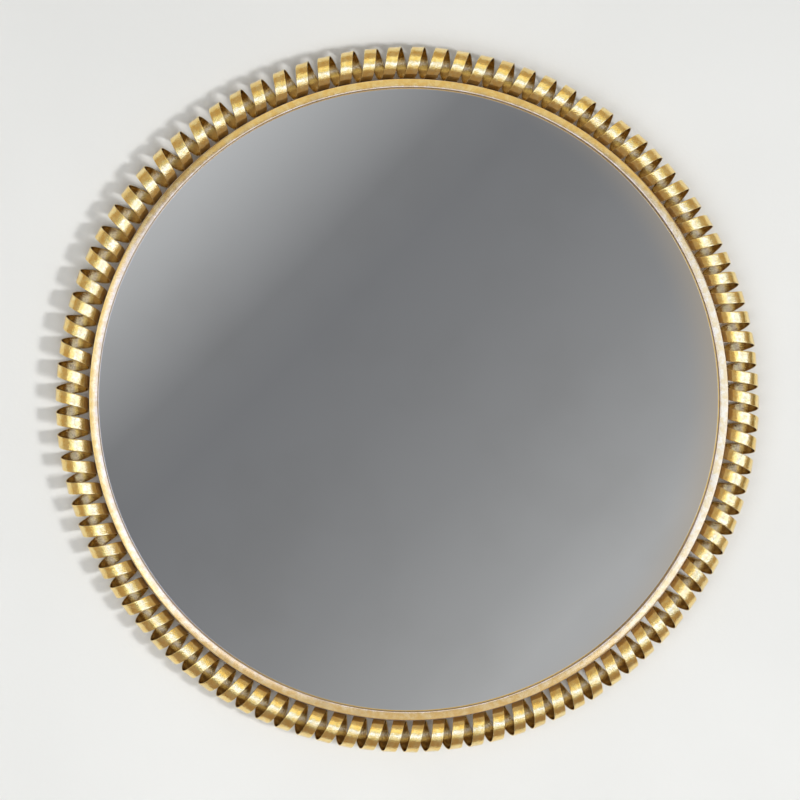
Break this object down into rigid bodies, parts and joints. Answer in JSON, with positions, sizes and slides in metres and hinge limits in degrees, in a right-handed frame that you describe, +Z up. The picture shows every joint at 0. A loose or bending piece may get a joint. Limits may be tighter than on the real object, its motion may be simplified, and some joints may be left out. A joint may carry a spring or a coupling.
{
  "type": "convex wall mirror",
  "caption": "Round convex wall mirror: a domed glass in a gilt hoop, framed by a flat gilt strip wound as an open coil, with turn buttons, bumpers and a hanging ring behind.",
  "frame": {"origin": "where the wall hook bears on the inside of the hanging ring, at the top of the ring", "axes": "+Z up, +X to the right of a viewer who faces the mirror, -Y out of the wall towards the viewer"},
  "size_m": [0.6, 0.0543, 0.6],
  "materials": {
    "gilt_hoop": "antique gold leaf on steel, glossy and slightly mottled",
    "gilt_strip": "antique gold leaf on steel strip, glossy, darker inside the turns",
    "mirror_glass": "polished convex mirror glass, clear and slightly grey",
    "felt": "dark grey felt strip",
    "hardboard": "brown hardboard, smooth and matt",
    "zinc_steel": "bright zinc plate",
    "bumper_rubber": "matt black rubber"
  },
  "bodies": {
    "mirror": {"rim_hoop": "gilt_hoop", "mirror_glass": "mirror_glass", "glass_packing": "felt", "back_board": "hardboard", "ribbon_coil_1": "gilt_strip", "ribbon_coil_2": "gilt_strip", "ribbon_coil_3": "gilt_strip", "ribbon_coil_4": "gilt_strip", "turn_lug_1": "gilt_hoop", "turn_lug_2": "gilt_hoop", "turn_lug_3": "gilt_hoop", "turn_lug_4": "gilt_hoop", "turn_lug_5": "gilt_hoop", "turn_lug_6": "gilt_hoop", "turn_screw_1": "zinc_steel", "turn_screw_2": "zinc_steel", "turn_screw_3": "zinc_steel", "turn_screw_4": "zinc_steel", "turn_screw_5": "zinc_steel", "turn_screw_6": "zinc_steel", "hanger_plate": "zinc_steel", "hanger_screw_1": "zinc_steel", "hanger_screw_2": "zinc_steel", "wall_bumper_1": "bumper_rubber", "wall_bumper_2": "bumper_rubber", "wall_bumper_3": "bumper_rubber", "wall_bumper_4": "bumper_rubber"},
    "turn_button_1": {"turn_button_1": "zinc_steel"},
    "turn_button_2": {"turn_button_2": "zinc_steel"},
    "turn_button_3": {"turn_button_3": "zinc_steel"},
    "turn_button_4": {"turn_button_4": "zinc_steel"},
    "turn_button_5": {"turn_button_5": "zinc_steel"},
    "turn_button_6": {"turn_button_6": "zinc_steel"},
    "hanger_ring": {"hanger_ring": "zinc_steel"}
  },
  "joints": [
    {"name": "button_1_turn", "type": "hinge", "parent": "mirror", "child": "turn_button_1", "pos_m": [0.1306, -0.00245, 0.03621], "axis": [0, -1, 0], "range_deg": [0, 90]},
    {"name": "button_2_turn", "type": "hinge", "parent": "mirror", "child": "turn_button_2", "pos_m": [0.2612, -0.00245, -0.19], "axis": [0, -1, 0], "range_deg": [0, 90]},
    {"name": "button_3_turn", "type": "hinge", "parent": "mirror", "child": "turn_button_3", "pos_m": [0.1306, -0.00245, -0.41621], "axis": [0, -1, 0], "range_deg": [0, 90]},
    {"name": "button_4_turn", "type": "hinge", "parent": "mirror", "child": "turn_button_4", "pos_m": [-0.1306, -0.00245, -0.41621], "axis": [0, -1, 0], "range_deg": [0, 90]},
    {"name": "button_5_turn", "type": "hinge", "parent": "mirror", "child": "turn_button_5", "pos_m": [-0.2612, -0.00245, -0.19], "axis": [0, -1, 0], "range_deg": [0, 90]},
    {"name": "button_6_turn", "type": "hinge", "parent": "mirror", "child": "turn_button_6", "pos_m": [-0.1306, -0.00245, 0.03621], "axis": [0, -1, 0], "range_deg": [0, 90]},
    {"name": "ring_swing", "type": "hinge", "parent": "mirror", "child": "hanger_ring", "pos_m": [0, 0, -0.017], "axis": [-1, 0, 0], "range_deg": [-5, 180]}
  ]
}
